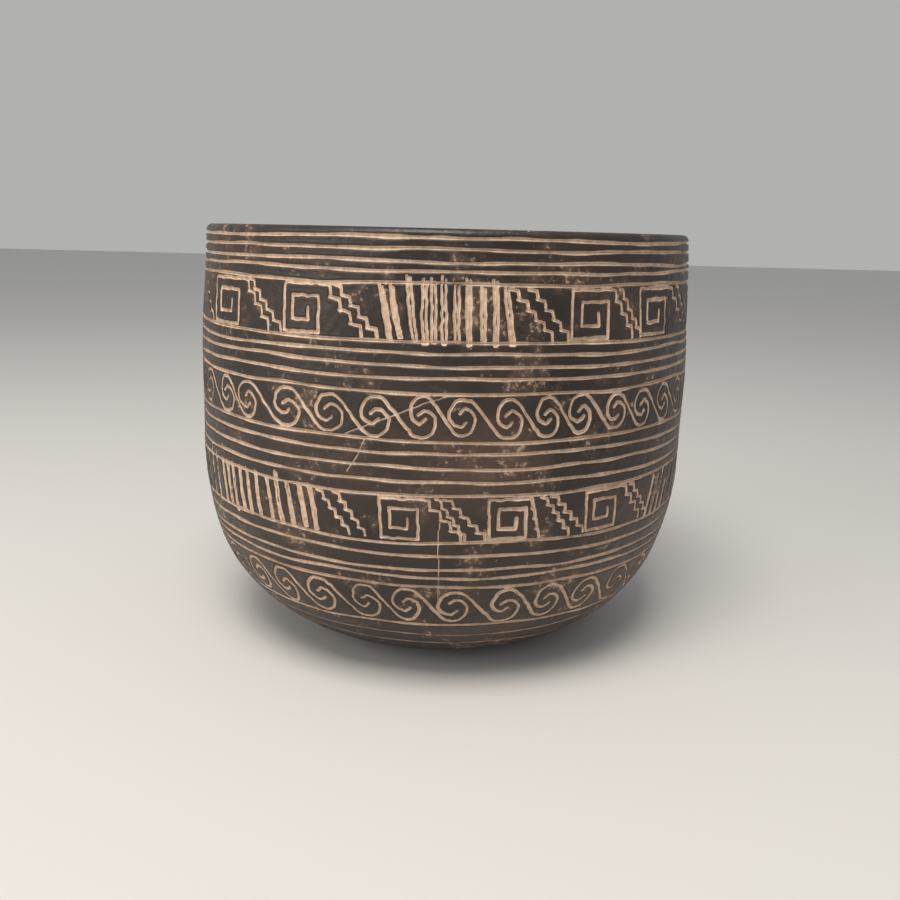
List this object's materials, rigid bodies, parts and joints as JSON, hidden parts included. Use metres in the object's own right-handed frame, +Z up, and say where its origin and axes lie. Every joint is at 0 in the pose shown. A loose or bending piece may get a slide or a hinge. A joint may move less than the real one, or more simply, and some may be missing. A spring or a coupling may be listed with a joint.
{
  "type": "carved ceramic vessel",
  "caption": "Deep hand-built bowl of dark burnished clay with incised rings, stepped frets and running scrolls.",
  "frame": {"origin": "centre of the flat underside", "axes": "+Z up along the axis of the bowl, towards the open rim"},
  "size_m": [0.22, 0.22, 0.18],
  "materials": {
    "burnished_clay": "satin"
  },
  "bodies": {
    "root": {"floor_disc": "burnished_clay", "base_turn_course": "burnished_clay", "lower_scroll_course": "burnished_clay", "lower_line_course": "burnished_clay", "lower_fret_course": "burnished_clay", "middle_line_course": "burnished_clay", "upper_scroll_course": "burnished_clay", "upper_line_course": "burnished_clay", "upper_fret_course": "burnished_clay", "neck_line_course": "burnished_clay", "rim_coil": "burnished_clay"}
  },
  "joints": []
}
